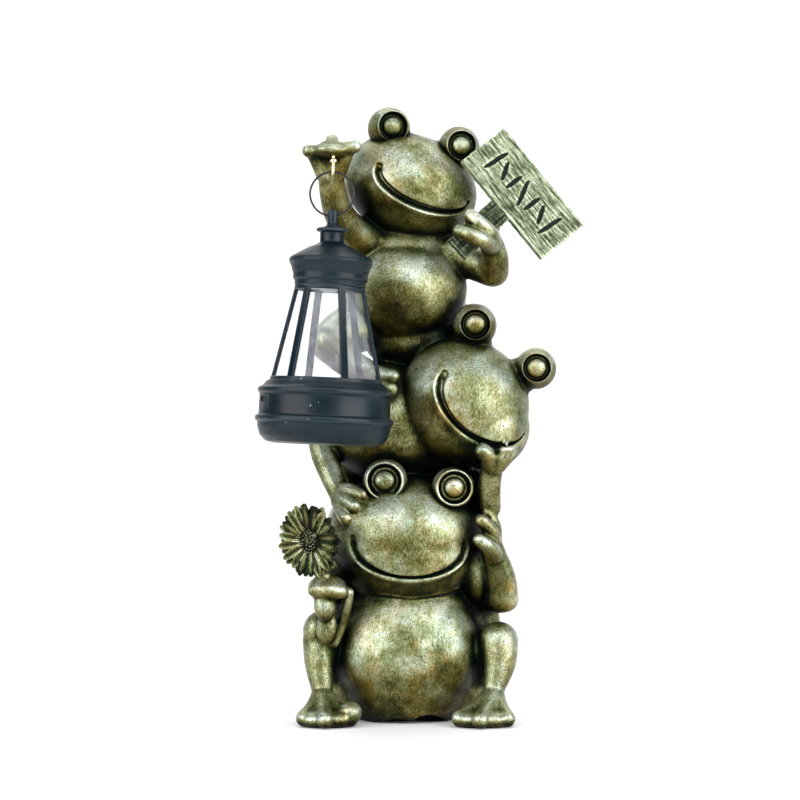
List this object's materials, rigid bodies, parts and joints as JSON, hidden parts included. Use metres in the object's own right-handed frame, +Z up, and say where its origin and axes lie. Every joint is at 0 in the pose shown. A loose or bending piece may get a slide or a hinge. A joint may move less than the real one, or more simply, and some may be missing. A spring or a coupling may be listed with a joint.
{
  "type": "frog garden statue",
  "caption": "Garden statue of smiling frogs stacked on one another in antique gold, holding up a plank sign, a daisy and a hanging lantern with clear panes.",
  "frame": {"origin": "the flat underside, below the middle of the bottom frog's belly", "axes": "+Z up through the stack, -Y to the front, where the frogs look, +X to the sign's side"},
  "size_m": [0.2037, 0.1571, 0.3889],
  "materials": {
    "antique_gold_resin": "cast resin with an antique gold paint, dry-brushed over dark green",
    "plank_paint": "cast resin plank in pale brushed gold with dark grain",
    "gold_wire": "bright",
    "black_wire": "black enamel",
    "slate_plastic": "dark slate moulded plastic with a satin skin",
    "clear_plastic": "clear moulded plastic"
  },
  "bodies": {
    "root": {"frog_stack": "antique_gold_resin", "welcome_sign": "plank_paint", "lantern_hook": "gold_wire", "hanging_ring": "black_wire", "lantern_cap": "slate_plastic", "lantern_cage": "slate_plastic", "lantern_base": "slate_plastic", "lantern_panes": "clear_plastic", "lantern_lens": "clear_plastic"}
  },
  "joints": []
}
